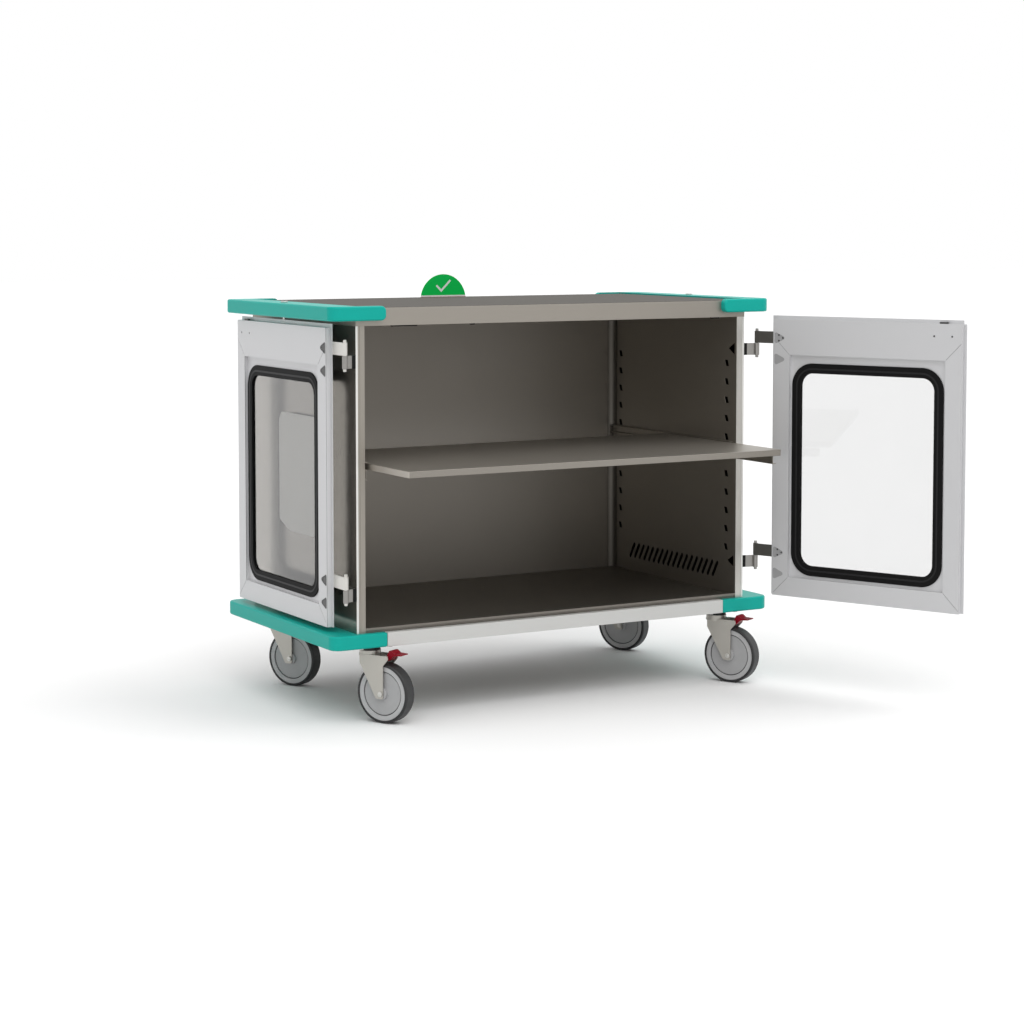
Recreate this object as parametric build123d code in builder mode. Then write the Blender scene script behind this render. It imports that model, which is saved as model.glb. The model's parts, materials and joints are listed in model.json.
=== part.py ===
from build123d import *
import os

# Closed case cart: a stainless cabinet on four swivel casters, with two glazed doors
# that fold round to the sides, one pull-out shelf and a bumper at each side, top and bottom.
# Millimetres. The origin is on the floor under the middle of the cart.
# +X is to the right of someone facing the doors, the doors face -Y, +Z is up.
# The model stands as photographed: left door folded back, right door open, shelf drawn out.

# Cabinet
shell_length = 1160.0
shell_depth = 627.0
wall = 24.0
wall_height = 763.0
base_height = 35.0
top_height = 45.0
sheet = 1.5
post_depth = 10.0

# Base frame
rail_width = 40.0
rail_sheet = 3.0
corner_plate_length = 120.0
corner_plate_width = 100.0
corner_plate_thickness = 6.0
corner_pocket_depth = 6.0
corner_pocket_gap = 1.0

# Kick rails along the base between the bumpers
kick_proud = 17.5
kick_rise = 3.0
kick_sheet = 1.5

# Floor, back and top panels
floor_thickness = 10.0
floor_sheet = 2.0
floor_rim = 20.0
floor_setback = 3.0
sill_rise = 5.0
sill_width = 12.0
back_thickness = 7.5
back_sheet = 2.0
back_border = 30.0
cove_radius = 20.0
fascia_thickness = 12.0
top_sheet = 2.0
top_edge_radius = 2.5

# Cut-outs in the inner skin of the side walls
slot_pitch = 50.0
slot_first_rise = 118.0
slot_head_room = 120.0
slot_rear_inset = 54.5
slot_front_inset = 39.0
slot_width = 14.0
slot_height = 17.0
slot_slant = 6.0
vent_pitch = 24.6
vent_rise = 60.0
vent_margin = 100.0
vent_centre = -8.0
vent_length = 52.0
vent_width = 11.0
vent_angle = 121.0
post_band_width = 11.0
post_band_depth = 1.2
access_hole_length = 28.0

# Bumpers
bumper_width = 74.0
bumper_proud = 19.1
bumper_height = 36.0
bumper_arm = 76.0
bumper_corner = 28.0
bumper_edge = 5.0
top_arm_end = 13.0
bottom_arm_end = 5.0
top_bumper_rise = 4.0
bottom_bumper_rise = 2.5

# Doors, measured from the hinge pin: along the door, inwards from the pin, and up
pin_outboard = 34.7
pin_forward = 10.5
door_open_right = 114.0
door_open_left = 270.0
door_edge = 64.7
door_skin_face = 6.6
door_thickness = 14.5
door_sheet = 1.5
door_sill_gap = 1.7
door_head_gap = 4.8
door_centre_gap = 10.0
door_top_lip = 9.8
door_hinge_lip = 10.0
door_free_lip = 8.0
recess_depth = 9.0
recess_stile = 45.0
recess_hinge_stile = 47.0
recess_bottom = 51.3
recess_header = 94.0
mitre_width = 1.2
mitre_depth = 0.8
mitre_margin = 1.5

# Window and its rubber, measured in from the edges of the recess round them
window_hinge_margin = 6.0
window_free_margin = 6.5
window_bottom_margin = 8.0
window_top_margin = 21.0
window_radius = 60.0
rubber_width = 26.5
rubber_grip = 8.0
rubber_lip = 4.0
rubber_outer_lip = 3.0
rubber_edge = 1.2
pane_thickness = 4.0

# Triangular pads and screw holes on the door's inner face
pad_length = 37.0
pad_height = 34.0
pad_radius = 5.0
pad_depth = 1.2
pad_inset = 1.5
pad_hole = 2.6
pad_hole_depth = 3.0
pad_hole_reach = 12.5
pad_hole_tip = 24.5
pad_hole_spread = 7.5
pad_plain_drop = 1.5

# Hinges
barrel_radius = 6.6
hinge_height = 78.0
hinge_low_rise = 60.8
hinge_high_drop = 105.2
hinge_leaf_height = 32.0
hinge_leaf_rise = 6.5
hinge_pin_radius = 3.6
hinge_pin_tip_radius = 4.2
hinge_pin_tip_edge = 1.6
hinge_sheet = 3.0
hinge_arm_grip = 35.0
hinge_foot_length = 48.0
hinge_foot_inset = 4.0
running_gap = 0.05
face_gap = 0.3

# Latches
latch_inset = 52.0
latch_case_length = 74.0
latch_case_height = 36.0
latch_case_depth = 14.0
latch_case_edge = 2.0
latch_case_corner = 5.0
latch_case_drop = 32.2
latch_screw_pitch = 50.0
latch_screw_radius = 2.6
bolt_width = 22.0
bolt_thickness = 6.6
bolt_back = 2.2
bolt_show = 4.4
bolt_length = 46.0
bolt_throw = 8.0
bolt_gap = 0.3
bolt_knob_radius = 4.0
bolt_knob_show = 5.0

# Shelf, the rails that its edges run in and the runners below it
shelf_depth = 550.0
shelf_thickness = 16.0
shelf_sheet = 1.5
shelf_hem = 10.0
shelf_rise = 414.0
shelf_corner = 5.0
shelf_wall_gap = 9.0
shelf_out = 284.0
shelf_back_gap = 3.0
rail_height = 45.0
slide_sheet = 1.5
slide_gap = 0.5
rail_grip = 3.0
rail_front_inset = 12.5
rail_back_inset = 3.0
rail_notch_gap = 1.0
right_runner_setback = 32.0
left_runner_setback = 240.0
runner_back_setback = 21.0
runner_tab_length = 30.0
runner_tab_inset = 40.0

# Document pocket on the left wall
pocket_depth = 15.0
pocket_width = 226.0
pocket_height = 306.0
pocket_rise = 220.0
pocket_centre = -5.0
pocket_sheet = 1.5
pocket_top_cut = 18.0
pocket_bottom_cut = 62.0
pocket_bottom_cut_height = 25.0

# Turning status disc behind the top panel
disc_radius = 71.0
disc_thickness = 3.0
disc_drop = 8.0
disc_pin_radius = 4.0
disc_pin_head_radius = 8.0
disc_pin_head = 2.5
disc_bracket_width = 56.0
disc_bracket_thickness = 3.0

# Door hold-open plungers in the top bumpers
plunger_radius = 4.0
plunger_inset = 32.0
plunger_setback = 15.0
plunger_knob_radius = 9.0
plunger_knob_height = 3.5
plunger_edge = 1.2
plunger_clearance = 0.5

# Casters
wheel_radius = 75.0
wheel_width = 36.0
caster_inset_x = 56.5
caster_inset_y = 41.5
caster_trail = 47.0
caster_heading = -61.1
tyre_depth = 7.0
tyre_shoulder = 5.0
core_width = 33.0
core_groove_radius = 56.0
core_groove_width = 2.5
core_groove_depth = 2.0
core_disc_inset = 2.0
hub_radius = 15.0
axle_radius = 4.0
axle_head_radius = 6.5
axle_head = 4.0
leg_sheet = 3.0
leg_gap = 3.0
leg_front = 16.0
leg_foot = 13.0
leg_foot_front = 14.0
leg_foot_back = 7.0
leg_shoulder_drop = 22.0
leg_ear_reach = 21.0
leg_ear_drop = 10.0
leg_ear_slope = 16.0
leg_corner = 5.0
crown_thickness = 5.0
crown_clearance = 16.0
crown_drop = 19.5
crown_back = 30.0
crown_radius = 28.0
collar_radius = 27.0
collar_height = 9.0
race_radius = 25.5
kingpin_radius = 6.0
kingpin_head_radius = 11.0
kingpin_head = 5.0
mount_plate_length = 100.0
mount_plate_width = 76.0
mount_plate_thickness = 4.0
mount_plate_corner = 8.0
mount_bolt_pitch_x = 80.0
mount_bolt_pitch_y = 60.0
mount_bolt_radius = 4.0
mount_hole_clearance = 0.3
mount_bolt_head_flats = 13.0
mount_bolt_head = 5.0
pedal_pivot_reach = 12.0
pedal_pivot_drop = 28.5
pedal_pin_radius = 4.0
pedal_pin_depth = 2.0
pedal_hub_radius = 5.6
pedal_width = 32.0
pedal_peak = 14.0
pedal_peak_rise = 22.0
pedal_shoulder = 23.0
pedal_shoulder_rise = 15.0
pedal_reach = 44.0
pedal_tip_rise = 14.0
pedal_tip_thickness = 2.5
pedal_side_gap = 0.4

# Places worked out from the sizes above
crown_base = 2 * wheel_radius + crown_clearance
crown_top = crown_base + crown_thickness
base_underside = crown_top + crown_drop
side = shell_length / 2
front = -shell_depth / 2
back = shell_depth / 2
inner_side = side - wall
inner_back = back - back_thickness
base_top = base_underside + base_height
floor_top = base_top + floor_thickness
sill_top = floor_top + sill_rise
fascia_bottom = base_top + wall_height
cabinet_top = fascia_bottom + top_height
bumper_side = side + bumper_width
bumper_front = front - bumper_proud
bumper_top = cabinet_top + top_bumper_rise
top_bumper_base = bumper_top - bumper_height
pin_x = side + pin_outboard
pin_y = front - pin_forward
door_base = sill_top + door_sill_gap
door_top = fascia_bottom - door_head_gap
door_width = pin_x - door_edge - door_centre_gap / 2
door_inner_face = door_skin_face + door_thickness
door_lip_top = door_top + door_top_lip
recess_left = door_edge + recess_hinge_stile
recess_right = door_edge + door_width - recess_stile
recess_base = door_base + recess_bottom
recess_top = door_top - recess_header
recess_floor = door_inner_face - recess_depth
window_left = recess_left + window_hinge_margin
window_right = recess_right - window_free_margin
window_base = recess_base + window_bottom_margin
window_top = recess_top - window_top_margin
pane_inner = (door_skin_face + recess_floor + pane_thickness) / 2
latch_x = door_edge + door_width - latch_inset
latch_height = door_top - latch_case_drop
strike_x = pin_x - latch_x
bolt_inner = door_inner_face - bolt_back
bolt_outer = bolt_inner - bolt_thickness
bolt_base = door_top + bolt_show - bolt_length
bolt_knob_height = latch_height - bolt_throw / 2
slot_half = bolt_knob_radius + bolt_gap
hinge_bases = (door_base + hinge_low_rise, door_top - hinge_high_drop)
hinge_arm_rise = hinge_height - hinge_leaf_rise - hinge_leaf_height
pad_heights = [
    base + rise
    for base in hinge_bases
    for rise in (hinge_arm_rise + hinge_leaf_height / 2, -pad_plain_drop)
]
pad_holes = (
    (pad_hole_reach, pad_hole_spread),
    (pad_hole_reach, -pad_hole_spread),
    (pad_hole_tip, 0),
)
slot_first_height = floor_top + slot_first_rise
slot_count = int((fascia_bottom - slot_head_room - slot_first_height) // slot_pitch) + 1
vent_count = int((shell_depth - 2 * vent_margin) // vent_pitch) + 1
shelf_top = floor_top + shelf_rise
shelf_side = inner_side - shelf_wall_gap
shelf_back = inner_back - shelf_back_gap - shelf_out
shelf_front = shelf_back - shelf_depth
rail_top = shelf_top + slide_gap + slide_sheet
rail_base = rail_top - rail_height
rail_divider = shelf_top - shelf_thickness - slide_gap
rail_edge = shelf_side - rail_grip
rail_front = front + rail_front_inset
rail_back = inner_back - rail_back_inset
plunger_x = bumper_side - plunger_inset
plunger_y = plunger_setback
plunger_base = door_lip_top + plunger_clearance
corners = {
    "front_left": (-side + caster_inset_x, front + caster_inset_y),
    "front_right": (side - caster_inset_x, front + caster_inset_y),
    "rear_left": (-side + caster_inset_x, back - caster_inset_y),
    "rear_right": (side - caster_inset_x, back - caster_inset_y),
}


os.makedirs("parts", exist_ok=True)


def keep(piece, name):
    """Label a finished piece and write it to its own file."""
    piece.part.label = name
    export_step(piece.part, f"parts/{name}.step")


def box_between(low, high, mode=Mode.ADD):
    """A box given by its lowest and highest corners."""
    size = [top - bottom for bottom, top in zip(low, high)]
    with Locations(low):
        Box(*size, align=(Align.MIN, Align.MIN, Align.MIN), mode=mode)


# Base frame: upturned channel rails round the edge and two across, with a pocketed block in
# each corner that a caster's mounting plate sits up in
bay_length = (shell_length - 4 * rail_width) / 3
bay_width = shell_depth - 2 * rail_width
bay_pitch = bay_length + rail_width
with BuildPart() as base_frame:
    with BuildSketch(Plane.XY.offset(base_underside)):
        Rectangle(shell_length, shell_depth)
        with GridLocations(bay_pitch, 0, 3, 1):
            Rectangle(bay_length, bay_width, mode=Mode.SUBTRACT)
    extrude(amount=base_height)
    with BuildSketch(Plane.XY.offset(base_underside + rail_sheet)):
        Rectangle(shell_length - 2 * rail_sheet, shell_depth - 2 * rail_sheet)
        with GridLocations(bay_pitch, 0, 3, 1):
            Rectangle(bay_length + 2 * rail_sheet, bay_width + 2 * rail_sheet, mode=Mode.SUBTRACT)
    extrude(amount=base_height, mode=Mode.SUBTRACT)
    with BuildSketch(Plane.XY.offset(base_underside)):
        with GridLocations(shell_length - corner_plate_length, shell_depth - corner_plate_width, 2, 2):
            Rectangle(corner_plate_length, corner_plate_width)
    extrude(amount=corner_pocket_depth + corner_plate_thickness)
    with BuildSketch(Plane.XY.offset(base_underside)):
        with Locations(*corners.values()):
            RectangleRounded(
                mount_plate_length + 2 * corner_pocket_gap,
                mount_plate_width + 2 * corner_pocket_gap,
                mount_plate_corner + corner_pocket_gap,
            )
    extrude(amount=corner_pocket_depth, mode=Mode.SUBTRACT)
    with BuildSketch(Plane.XY.offset(base_underside + corner_pocket_depth)):
        with Locations(*corners.values()):
            with GridLocations(mount_bolt_pitch_x, mount_bolt_pitch_y, 2, 2):
                Circle(mount_bolt_radius + mount_hole_clearance)
    extrude(amount=corner_plate_thickness, mode=Mode.SUBTRACT)
keep(base_frame, "base_frame")

# Kick rails: a channel along the front of the base, flush with the bumpers, and one behind
kick_end = side - bumper_arm - face_gap
kick_front = front - kick_proud
kick_base = base_underside + kick_rise
kick_top = base_top + kick_rise
with BuildPart() as kick_rails:
    box_between((-kick_end, kick_front, kick_base), (kick_end, front, kick_top))
    box_between(
        (-kick_end + kick_sheet, kick_front + kick_sheet, kick_base + kick_sheet),
        (kick_end - kick_sheet, front, kick_top - kick_sheet),
        mode=Mode.SUBTRACT,
    )
    mirror(about=Plane.XZ)
keep(kick_rails, "kick_rails")

# Floor panel: a pan open below, with a raised sill along the door side
with BuildPart() as floor_panel:
    box_between((-inner_side, front, base_top), (inner_side, inner_back, floor_top))
    box_between((-inner_side, front, floor_top), (inner_side, front + sill_width, sill_top))
    box_between(
        (-inner_side + floor_rim, front + floor_rim, base_top),
        (inner_side - floor_rim, inner_back - floor_rim, floor_top - floor_sheet),
        mode=Mode.SUBTRACT,
    )
    box_between(
        (-inner_side, front, base_top),
        (inner_side, front + floor_setback, floor_top - floor_sheet),
        mode=Mode.SUBTRACT,
    )
keep(floor_panel, "floor_panel")


def side_wall(vented):
    """The right wall: a hollow panel whose inner skin holds the shelf slots and vents."""
    inner_skin = Plane(origin=(inner_side, 0, 0), x_dir=(0, 1, 0), z_dir=(1, 0, 0))
    with BuildPart() as panel:
        box_between((inner_side, front, base_top), (side, back, fascia_bottom))
        box_between(
            (inner_side + sheet, front + post_depth, base_top + sheet),
            (side - sheet, back - sheet, fascia_bottom - sheet),
            mode=Mode.SUBTRACT,
        )
        box_between(
            (side - post_band_width, front, base_top),
            (side, front + post_band_depth, fascia_bottom),
            mode=Mode.SUBTRACT,
        )
        with BuildSketch(inner_skin):
            for column in (front + slot_front_inset, back - slot_rear_inset):
                for row in range(slot_count):
                    with Locations((column, slot_first_height + row * slot_pitch)):
                        Polygon(
                            (-slot_slant / 2, 0),
                            (slot_width - slot_slant / 2, 0),
                            (slot_width + slot_slant / 2, slot_height),
                            (slot_slant / 2, slot_height),
                        )
            if vented:
                with Locations((vent_centre, floor_top + vent_rise)):
                    with GridLocations(vent_pitch, 0, vent_count, 1):
                        SlotOverall(vent_length, vent_width, rotation=vent_angle)
            for height in hinge_bases:
                with Locations((front + post_depth, height + hinge_leaf_rise)):
                    Polygon(
                        (0, 0),
                        (access_hole_length, pad_height / 2),
                        (0, pad_height),
                        align=None,
                    )
        extrude(amount=sheet, mode=Mode.SUBTRACT)
    return panel.part


with BuildPart() as right_side_wall:
    add(side_wall(vented=True))
keep(right_side_wall, "right_side_wall")

with BuildPart() as left_side_wall:
    add(side_wall(vented=False).mirror(Plane.YZ))
keep(left_side_wall, "left_side_wall")

# Back panel: a sheet with a border folded back, and a coved strip up each inner corner
with BuildPart() as back_panel:
    box_between((-inner_side, inner_back, base_top), (inner_side, back, fascia_bottom))
    box_between(
        (-inner_side + back_border, inner_back + back_sheet, base_top + back_border),
        (inner_side - back_border, back, fascia_bottom - back_border),
        mode=Mode.SUBTRACT,
    )
    with BuildSketch(Plane.XY.offset(floor_top)):
        for hand in (-1, 1):
            with Locations((hand * (inner_side - cove_radius / 2), inner_back - cove_radius / 2)):
                Rectangle(cove_radius, cove_radius)
            with Locations((hand * (inner_side - cove_radius), inner_back - cove_radius)):
                Circle(cove_radius, mode=Mode.SUBTRACT)
    extrude(amount=fascia_bottom - floor_top)
    for hand in (-1, 1):
        with Locations((hand * (rail_edge + inner_side) / 2, inner_back, (rail_base + rail_top) / 2)):
            Box(
                inner_side - rail_edge + 2 * rail_notch_gap,
                cove_radius,
                rail_height + 2 * rail_notch_gap,
                align=(Align.CENTER, Align.MAX, Align.CENTER),
                mode=Mode.SUBTRACT,
            )
keep(back_panel, "back_panel")

# Top panel: a folded cap with a deep front fascia and a strike pocket for each latch bolt
with BuildPart() as top_panel:
    box_between((-side, front, fascia_bottom), (side, back, cabinet_top))
    fillet(top_panel.faces().sort_by(Axis.Z)[-1].edges(), top_edge_radius)
    box_between(
        (-inner_side, front + fascia_thickness, fascia_bottom),
        (inner_side, inner_back, cabinet_top - top_sheet),
        mode=Mode.SUBTRACT,
    )
    for hand in (-1, 1):
        box_between(
            (hand * strike_x - bolt_width / 2 - bolt_gap, pin_y + bolt_outer - bolt_gap, fascia_bottom),
            (
                hand * strike_x + bolt_width / 2 + bolt_gap,
                pin_y + bolt_inner + bolt_gap,
                door_top + bolt_show + bolt_throw + bolt_gap,
            ),
            mode=Mode.SUBTRACT,
        )
keep(top_panel, "top_panel")


def bumper(base, arm_end):
    """The right bumper: a thick bar along the side with an arm round each corner."""
    arm_x = side - bumper_arm
    with BuildPart() as bar:
        with BuildSketch(Plane.XY.offset(base)):
            with Locations(((arm_x + bumper_side) / 2, 0)):
                outline = Rectangle(bumper_side - arm_x, -2 * bumper_front)
            fillet(outline.vertices().group_by(Axis.X)[-1], bumper_corner)
            with Locations(((arm_x + side) / 2, 0)):
                Rectangle(side - arm_x, shell_depth, mode=Mode.SUBTRACT)
        extrude(amount=bumper_height)
        fillet(bar.edges().filter_by(Axis.Y).group_by(Axis.X)[0], arm_end)
        outer_face = bar.faces().filter_by(Axis.X).sort_by(Axis.X)[-1]
        rim = outer_face.edges().filter_by(Axis.Y)
        fillet(rim, bumper_edge)
    return bar


bumpers = {
    "top_bumper": (top_bumper_base, top_arm_end),
    "bottom_bumper": (base_underside + bottom_bumper_rise, bottom_arm_end),
}
for place, (base, arm_end) in bumpers.items():
    with BuildPart() as right_bumper:
        add(bumper(base, arm_end).part)
        if place == "top_bumper":
            with Locations((plunger_x, plunger_y, base)):
                Cylinder(
                    plunger_radius + running_gap,
                    bumper_height,
                    align=(Align.CENTER, Align.CENTER, Align.MIN),
                    mode=Mode.SUBTRACT,
                )
    keep(right_bumper, f"right_{place}")
    with BuildPart() as left_bumper:
        add(right_bumper.part.mirror(Plane.YZ))
    keep(left_bumper, f"left_{place}")


# Doors are drawn shut, from the hinge pin, as a door hung on the left
def at_rest(piece, hand):
    """Hang a door piece on its side and turn it to where it stands open."""
    if hand == "left":
        return Pos(-pin_x, pin_y, 0) * Rot(0, 0, -door_open_left) * piece
    return Pos(pin_x, pin_y, 0) * Rot(0, 0, door_open_right) * piece.mirror(Plane.YZ)


def hang(piece, name, hands=("left", "right")):
    """Write a door piece out once for each door."""
    for hand in hands:
        with BuildPart() as hung:
            add(at_rest(piece, hand))
        keep(hung, f"{hand}_{name}")


def door_plane(inward):
    """A plane along the door that faces out, at a distance inwards from the pin."""
    return Plane(origin=(0, inward, 0), x_dir=(1, 0, 0), z_dir=(0, -1, 0))


def window(inset, mode=Mode.ADD):
    """The window's outline, drawn in by an inset."""
    with Locations(((window_left + window_right) / 2, (window_base + window_top) / 2)):
        RectangleRounded(
            window_right - window_left - 2 * inset,
            window_top - window_base - 2 * inset,
            window_radius - inset,
            mode=mode,
        )


def knob_slot():
    """The upright slot that the latch knob slides in."""
    with Locations((latch_x, bolt_knob_height + bolt_throw / 2)):
        SlotOverall(bolt_throw + 2 * slot_half, 2 * slot_half, rotation=90)


# Outer skin: one sheet that overlaps the frame at the top and along its upright edges
for hand, free_lip in (("left", 0), ("right", door_free_lip)):
    with BuildPart() as door_skin:
        box_between(
            (door_edge - door_hinge_lip, door_skin_face, door_base),
            (door_edge + door_width + free_lip, door_skin_face + door_sheet, door_top),
        )
        box_between(
            (door_edge - door_hinge_lip, door_skin_face, door_top),
            (door_edge + door_width, door_skin_face + door_sheet, door_lip_top),
        )
        with BuildSketch(door_plane(door_skin_face)):
            window(rubber_grip)
            knob_slot()
        extrude(amount=-door_sheet, mode=Mode.SUBTRACT)
    hang(door_skin.part, "door_skin", hands=(hand,))

# Inner frame: a thick pan with a wide recess round the window, mitred at its corners
with BuildPart() as door_frame:
    box_between(
        (door_edge, door_skin_face + door_sheet, door_base),
        (door_edge + door_width, door_inner_face, door_top),
    )
    box_between(
        (recess_left, recess_floor, recess_base),
        (recess_right, door_inner_face, recess_top),
        mode=Mode.SUBTRACT,
    )
    with BuildSketch(door_plane(door_inner_face)):
        window(rubber_grip)
    extrude(amount=door_thickness, mode=Mode.SUBTRACT)
    with BuildSketch(door_plane(door_inner_face)):
        for x, across in ((recess_left, -1), (recess_right, 1)):
            for z, up in ((recess_base, -1), (recess_top, 1)):
                with Locations((x + across * recess_stile / 2, z + up * recess_stile / 2)):
                    Rectangle(
                        recess_stile * 2**0.5 - 2 * mitre_margin,
                        mitre_width,
                        rotation=45 * across * up,
                    )
    extrude(amount=mitre_depth, mode=Mode.SUBTRACT)
    with BuildSketch(door_plane(door_inner_face)) as pads:
        for height in pad_heights:
            with Locations((door_edge + pad_inset, height)):
                Polygon((0, -pad_height / 2), (pad_length, 0), (0, pad_height / 2), align=None)
        fillet(pads.vertices(), pad_radius)
    extrude(amount=pad_depth, mode=Mode.SUBTRACT)
    with BuildSketch(door_plane(door_inner_face)):
        for height in pad_heights[::2]:
            with Locations((door_edge + pad_inset, height)):
                with Locations(*pad_holes):
                    Circle(pad_hole)
        with Locations((latch_x, latch_height)):
            with GridLocations(latch_screw_pitch, 0, 2, 1):
                Circle(latch_screw_radius)
    extrude(amount=pad_hole_depth, mode=Mode.SUBTRACT)
    box_between(
        (latch_x - bolt_width / 2 - bolt_gap, bolt_outer - bolt_gap, bolt_base - bolt_gap),
        (latch_x + bolt_width / 2 + bolt_gap, bolt_inner + bolt_gap, door_top),
        mode=Mode.SUBTRACT,
    )
    with BuildSketch(door_plane(bolt_outer)):
        knob_slot()
    extrude(amount=bolt_outer - door_skin_face, mode=Mode.SUBTRACT)
hang(door_frame.part, "door_frame")

# Window rubber: one ring that grips the door's edge outside and the pane inside
with BuildPart() as window_rubber:
    with BuildSketch(door_plane(recess_floor + rubber_lip)):
        window(0)
    extrude(amount=rubber_lip)
    with BuildSketch(door_plane(recess_floor)):
        window(rubber_grip)
    extrude(amount=recess_floor - door_skin_face)
    with BuildSketch(door_plane(door_skin_face)):
        window(0)
    extrude(amount=rubber_outer_lip)
    fillet(window_rubber.faces().sort_by(Axis.Y)[-1].edges(), rubber_edge)
    with BuildSketch(door_plane(recess_floor + rubber_lip)):
        window(rubber_width)
    extrude(amount=2 * door_thickness, mode=Mode.SUBTRACT)
    with BuildSketch(door_plane(pane_inner)):
        window(rubber_width - rubber_grip)
    extrude(amount=pane_thickness, mode=Mode.SUBTRACT)
hang(window_rubber.part, "window_rubber")

with BuildPart() as window_pane:
    with BuildSketch(door_plane(pane_inner)):
        window(rubber_width - rubber_grip)
    extrude(amount=pane_thickness)
hang(window_pane.part, "window_pane")

# Latch: a case on the outer face and a bolt pushed up by its knob
with BuildPart() as latch_case:
    with BuildSketch(door_plane(door_skin_face)):
        with Locations((latch_x, latch_height)):
            RectangleRounded(latch_case_length, latch_case_height, latch_case_corner)
    extrude(amount=latch_case_depth)
    fillet(latch_case.faces().sort_by(Axis.Y)[0].edges(), latch_case_edge)
    with BuildSketch(door_plane(door_skin_face)):
        knob_slot()
    extrude(amount=latch_case_depth, mode=Mode.SUBTRACT)
hang(latch_case.part, "latch_case")

with BuildPart() as latch_bolt:
    box_between(
        (latch_x - bolt_width / 2, bolt_outer, bolt_base),
        (latch_x + bolt_width / 2, bolt_inner, bolt_base + bolt_length),
    )
    with BuildSketch(door_plane(bolt_outer)):
        with Locations((latch_x, bolt_knob_height)):
            Circle(bolt_knob_radius)
    extrude(amount=bolt_outer - door_skin_face + latch_case_depth + bolt_knob_show)
hang(latch_bolt.part, "latch_bolt")

# Hinges: a leaf on the cabinet and an arm on the door, each rolled round the same pin
with BuildPart() as hinge_leaves:
    for base in hinge_bases:
        with BuildSketch(Plane.XY.offset(base + hinge_leaf_rise)):
            foot_front = pin_forward + hinge_foot_inset
            with BuildLine():
                Polyline(
                    (0, barrel_radius - hinge_sheet),
                    (pin_outboard, foot_front),
                    (pin_outboard, foot_front + hinge_foot_length),
                    (pin_outboard - hinge_sheet, foot_front + hinge_foot_length),
                    (pin_outboard - hinge_sheet, foot_front + hinge_sheet),
                    (0, barrel_radius),
                    close=True,
                )
            make_face()
            Circle(barrel_radius)
            Circle(hinge_pin_radius, mode=Mode.SUBTRACT)
        extrude(amount=hinge_leaf_height)

with BuildPart() as hinge_arms:
    for base in hinge_bases:
        with BuildSketch(Plane.XY.offset(base + hinge_arm_rise)):
            with Locations((0, door_skin_face - hinge_sheet)):
                Rectangle(door_edge + hinge_arm_grip, hinge_sheet, align=(Align.MIN, Align.MIN))
            Circle(barrel_radius)
            Circle(hinge_pin_radius + running_gap, mode=Mode.SUBTRACT)
        extrude(amount=hinge_leaf_height)
hang(hinge_arms.part, "hinge_arms")

hinge_pin_tip = hinge_leaf_rise - face_gap
with BuildPart() as hinge_pins:
    for base in hinge_bases:
        with BuildSketch(Plane.XY.offset(base)):
            Circle(hinge_pin_radius)
        extrude(amount=hinge_height)
        for tip_base in (base, base + hinge_height - hinge_pin_tip):
            with BuildSketch(Plane.XY.offset(tip_base)):
                Circle(hinge_pin_tip_radius)
            extrude(amount=hinge_pin_tip)
    tips = hinge_pins.faces().filter_by(Axis.Z).group_by(Axis.Z)
    fillet(tips[0].edges() + tips[-1].edges(), hinge_pin_tip_edge)

for piece, name in ((hinge_leaves.part, "hinge_leaves"), (hinge_pins.part, "hinge_pins")):
    with BuildPart() as left_fixed:
        add(Pos(-pin_x, pin_y, 0) * piece)
    keep(left_fixed, f"left_{name}")
    with BuildPart() as right_fixed:
        add(Pos(pin_x, pin_y, 0) * piece.mirror(Plane.YZ))
    keep(right_fixed, f"right_{name}")

# Shelf: a folded pan, drawn out of its rails
with BuildPart() as shelf:
    with BuildSketch(Plane.XY.offset(shelf_top - shelf_thickness)):
        with Locations((0, (shelf_front + shelf_back) / 2)):
            RectangleRounded(2 * shelf_side, shelf_depth, shelf_corner)
    extrude(amount=shelf_thickness)
    box_between(
        (-shelf_side + shelf_sheet, shelf_front + shelf_hem, shelf_top - shelf_thickness),
        (shelf_side - shelf_sheet, shelf_back - shelf_hem, shelf_top - shelf_sheet),
        mode=Mode.SUBTRACT,
    )
keep(shelf, "shelf")

# Shelf rails: on each wall a channel for the shelf's edge over a channel for its runner
with BuildPart() as shelf_rails:
    box_between((rail_edge, rail_front, rail_base), (inner_side, rail_back, rail_top))
    for low, high in (
        (rail_base + slide_sheet, rail_divider - slide_sheet),
        (rail_divider, rail_top - slide_sheet),
    ):
        box_between(
            (rail_edge, rail_front, low),
            (inner_side - slide_sheet, rail_back, high),
            mode=Mode.SUBTRACT,
        )
    mirror(about=Plane.YZ)
keep(shelf_rails, "shelf_rails")

# Shelf runners: a channel in each lower rail, held up to the shelf by tabs; the right one is long
runner_low = rail_base + slide_sheet + slide_gap
runner_high = rail_divider - slide_sheet - slide_gap
runner_inner = rail_edge - slide_gap - slide_sheet
runner_outer = inner_side - slide_sheet - slide_gap
runner_back = shelf_back - runner_back_setback


def shelf_runner(setback):
    """A right runner with three tabs, its front end set back from the shelf's."""
    runner_front = shelf_front + setback
    with BuildPart() as runner:
        box_between((runner_inner, runner_front, runner_low), (runner_outer, runner_back, runner_high))
        box_between(
            (runner_inner + slide_sheet, runner_front, runner_low + slide_sheet),
            (runner_outer, runner_back, runner_high - slide_sheet),
            mode=Mode.SUBTRACT,
        )
        for tab in (
            runner_front + runner_tab_inset,
            (runner_front + runner_back - runner_tab_length) / 2,
            runner_back - runner_tab_inset - runner_tab_length,
        ):
            box_between(
                (runner_inner, tab, runner_high),
                (runner_inner + slide_sheet, tab + runner_tab_length, shelf_top - shelf_sheet),
            )
    return runner.part


with BuildPart() as shelf_runners:
    add(shelf_runner(right_runner_setback))
    add(shelf_runner(left_runner_setback).mirror(Plane.YZ))
keep(shelf_runners, "shelf_runners")


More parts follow.
